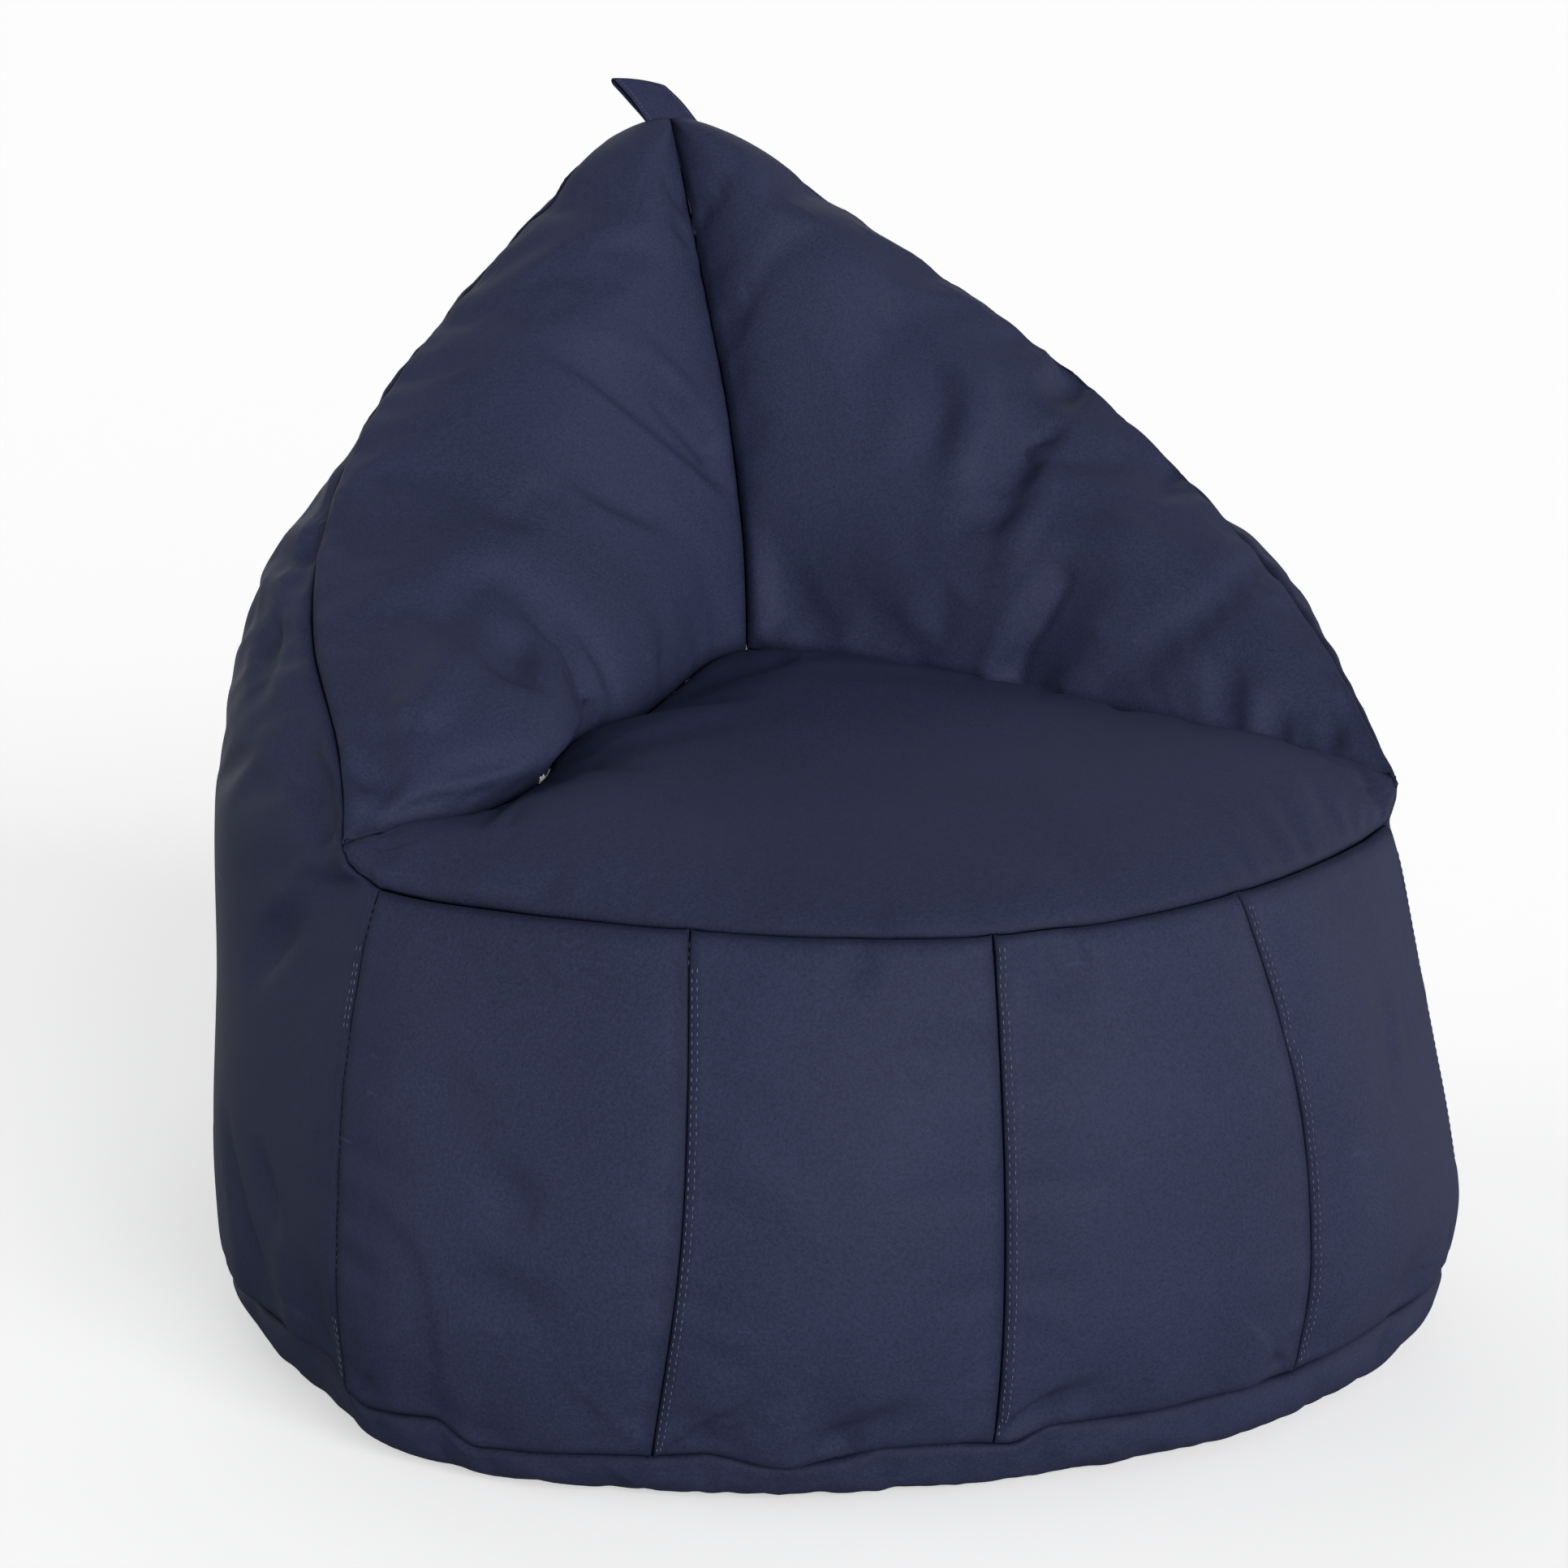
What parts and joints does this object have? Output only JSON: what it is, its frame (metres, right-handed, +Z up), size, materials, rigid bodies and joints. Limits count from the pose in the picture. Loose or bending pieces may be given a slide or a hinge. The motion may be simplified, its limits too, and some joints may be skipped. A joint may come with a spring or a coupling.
{
  "type": "bean bag chair",
  "caption": "Bean-filled floor chair with a drum seat, a folded pointed backrest and low arms, a strap loop at the peak and zipped cover and liner.",
  "frame": {"origin": "on the floor under the middle of the chair", "axes": "+Z up, -Y the way the sitter faces, +X to the right as seen from the front"},
  "size_m": [0.895, 0.8882, 0.8733],
  "materials": {
    "canvas_navy": "matte",
    "strap_navy": "matte",
    "zip_navy": "satin",
    "slider_metal": "satin",
    "liner_white": "matte",
    "bead_white": "matte"
  },
  "bodies": {
    "bag": {"seat_panel": "canvas_navy", "inner_back_left": "canvas_navy", "inner_back_right": "canvas_navy", "outer_back_left": "canvas_navy", "outer_back_right": "canvas_navy", "front_wall_left_outer": "canvas_navy", "front_wall_left_inner": "canvas_navy", "front_wall_right_inner": "canvas_navy", "front_wall_right_outer": "canvas_navy", "base_panel": "canvas_navy", "cover_zip_tape_left": "zip_navy", "cover_zip_tape_right": "zip_navy", "cover_zip_coil_left": "zip_navy", "cover_zip_coil_right": "zip_navy", "cover_zip_top_stop": "slider_metal", "cover_zip_bottom_stop": "slider_metal", "liner_zip_top_stop": "slider_metal", "liner_zip_bottom_stop": "slider_metal", "liner_bag": "liner_white", "liner_zip_tape_left": "liner_white", "liner_zip_tape_right": "liner_white", "liner_zip_coil_left": "liner_white", "liner_zip_coil_right": "liner_white", "bead_fill": "bead_white"},
    "handle": {"carry_handle": "strap_navy"},
    "cover_slider": {"cover_zip_slider": "slider_metal"},
    "liner_slider": {"liner_zip_slider": "slider_metal"}
  },
  "joints": [
    {"name": "handle_flop", "type": "hinge", "parent": "bag", "child": "handle", "pos_m": [0, 0.416, 0.84], "axis": [1, 0, 0], "range_deg": [-40, 95]},
    {"name": "cover_zip_slide", "type": "slide", "parent": "bag", "child": "cover_slider", "axis": [0, 0, 1], "range_m": [0, 0.32]},
    {"name": "liner_zip_slide", "type": "slide", "parent": "bag", "child": "liner_slider", "axis": [0, 0, 1], "range_m": [0, 0.18]}
  ]
}
